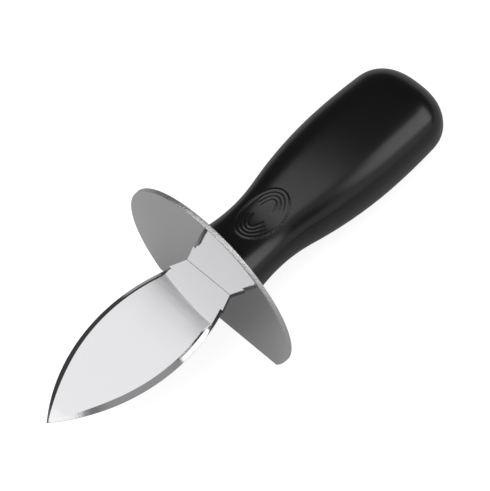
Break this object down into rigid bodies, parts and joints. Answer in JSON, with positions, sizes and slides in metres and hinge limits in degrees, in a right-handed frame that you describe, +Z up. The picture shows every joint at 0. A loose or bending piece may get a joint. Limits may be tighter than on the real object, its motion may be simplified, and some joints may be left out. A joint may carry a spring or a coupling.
{
  "type": "oyster knife",
  "caption": "Oyster knife with a leaf-shaped double-edged steel blade, a round steel guard with one flat, and a black moulded handle.",
  "frame": {"origin": "on the table under the middle of the knife, which lies on the guard's flat and the heel of the handle", "axes": "+Z up, +X along the knife towards the blade's tip, +Y to the left of someone looking from the handle to the tip"},
  "size_m": [0.1584, 0.0684, 0.0558],
  "materials": {
    "blade_steel": "stainless sheet, fine ground and polished, with ground bevels",
    "guard_steel": "stainless sheet, satin polished, tumbled rim",
    "handle_plastic": "black moulded plastic, semi-gloss"
  },
  "bodies": {
    "root": {"blade": "blade_steel", "guard": "guard_steel", "handle": "handle_plastic"}
  },
  "joints": []
}
